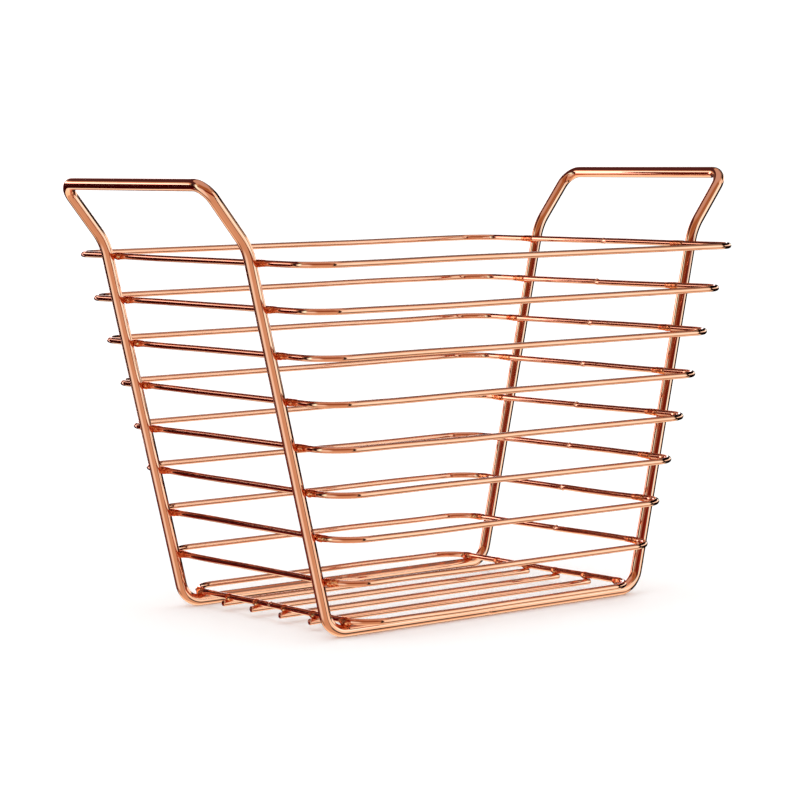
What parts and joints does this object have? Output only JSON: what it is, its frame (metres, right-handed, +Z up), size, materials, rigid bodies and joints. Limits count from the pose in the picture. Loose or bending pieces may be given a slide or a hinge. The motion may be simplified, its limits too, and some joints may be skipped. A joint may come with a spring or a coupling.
{
  "type": "wire produce basket",
  "caption": "Open tapered wire basket of stacked rounded wire rings on two thicker bent end hoops that form outward-leaning handles.",
  "frame": {"origin": "middle of the base, on the table under the two bottom bars", "axes": "+X along the basket towards the handle on the ring-seam side, +Y across the basket to the back, +Z up"},
  "size_m": [0.347, 0.2162, 0.2265],
  "materials": {
    "frame_wire": "polished copper-coloured plating on 6 mm steel wire",
    "ring_wire": "polished copper-coloured plating on 3.2 mm steel wire",
    "base_wire": "polished copper-coloured plating on 3.2 mm steel wire",
    "weld": "darker, redder plating over small weld beads"
  },
  "bodies": {
    "root": {"end_hoop_left": "frame_wire", "end_hoop_right": "frame_wire", "side_ring_1": "ring_wire", "side_ring_2": "ring_wire", "side_ring_3": "ring_wire", "side_ring_4": "ring_wire", "side_ring_5": "ring_wire", "side_ring_6": "ring_wire", "side_ring_7": "ring_wire", "side_ring_8": "ring_wire", "base_ring": "ring_wire", "base_wire_1": "base_wire", "base_wire_2": "base_wire", "base_wire_3": "base_wire", "base_wire_4": "base_wire", "leg_welds_front_left": "weld", "leg_welds_front_right": "weld", "leg_welds_back_left": "weld", "leg_welds_back_right": "weld", "base_ring_welds": "weld", "base_wire_welds_left": "weld", "base_wire_welds_right": "weld", "ring_seam_beads": "weld", "frame_seam_beads": "weld"}
  },
  "joints": []
}
